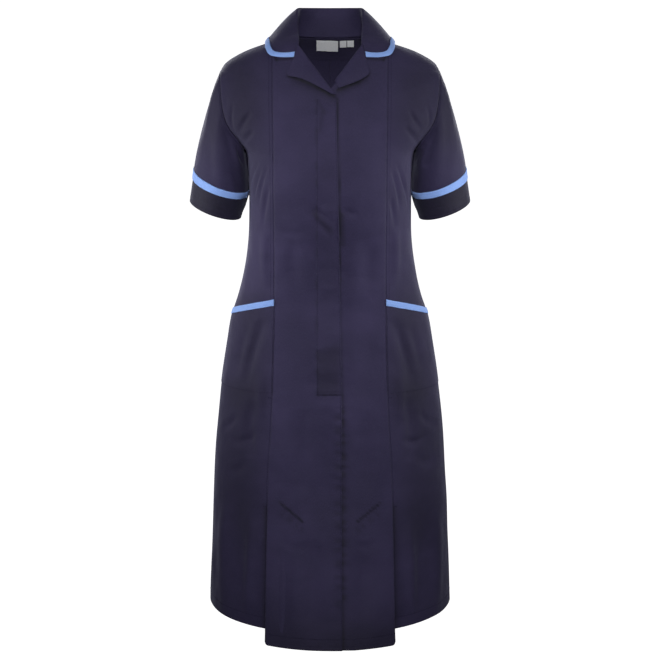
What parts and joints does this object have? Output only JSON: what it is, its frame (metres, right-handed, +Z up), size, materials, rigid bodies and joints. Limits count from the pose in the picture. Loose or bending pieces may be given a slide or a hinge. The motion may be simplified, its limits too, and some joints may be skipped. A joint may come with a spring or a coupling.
{
  "type": "nurse uniform dress",
  "caption": "Short-sleeved nurse uniform dress in its worn, hollow form: notched collar, lapped front with concealed placket, patch pockets, contrast trim and front kick pleats.",
  "frame": {"origin": "midway between the two neck ends of the shoulder seams, where the wearer's shoulders hold the dress up", "axes": "+X to the wearer's left, the front faces -Y, +Z up"},
  "size_m": [0.508, 0.4123, 1.1099],
  "materials": {
    "navy_cloth": "matt polycotton twill, dark navy",
    "blue_trim": "matt polycotton binding, light blue",
    "label_cloth": "woven label tape, pale grey, bare"
  },
  "bodies": {
    "root": {"front_right": "navy_cloth", "front_left": "navy_cloth", "side_front_right": "navy_cloth", "side_front_left": "navy_cloth", "back_right": "navy_cloth", "back_left": "navy_cloth", "sleeve_right": "navy_cloth", "sleeve_left": "navy_cloth", "cuff_right": "navy_cloth", "cuff_left": "navy_cloth", "sleeve_trim_right": "blue_trim", "sleeve_trim_left": "blue_trim", "pocket_right": "navy_cloth", "pocket_left": "navy_cloth", "pocket_trim_right": "blue_trim", "pocket_trim_left": "blue_trim", "pleat_right": "navy_cloth", "pleat_left": "navy_cloth", "front_placket": "navy_cloth", "collar": "navy_cloth", "collar_trim": "blue_trim", "lapel_right": "navy_cloth", "lapel_left": "navy_cloth", "back_neck_facing": "navy_cloth", "neck_label": "label_cloth", "size_tab_1": "label_cloth", "size_tab_2": "label_cloth"}
  },
  "joints": []
}
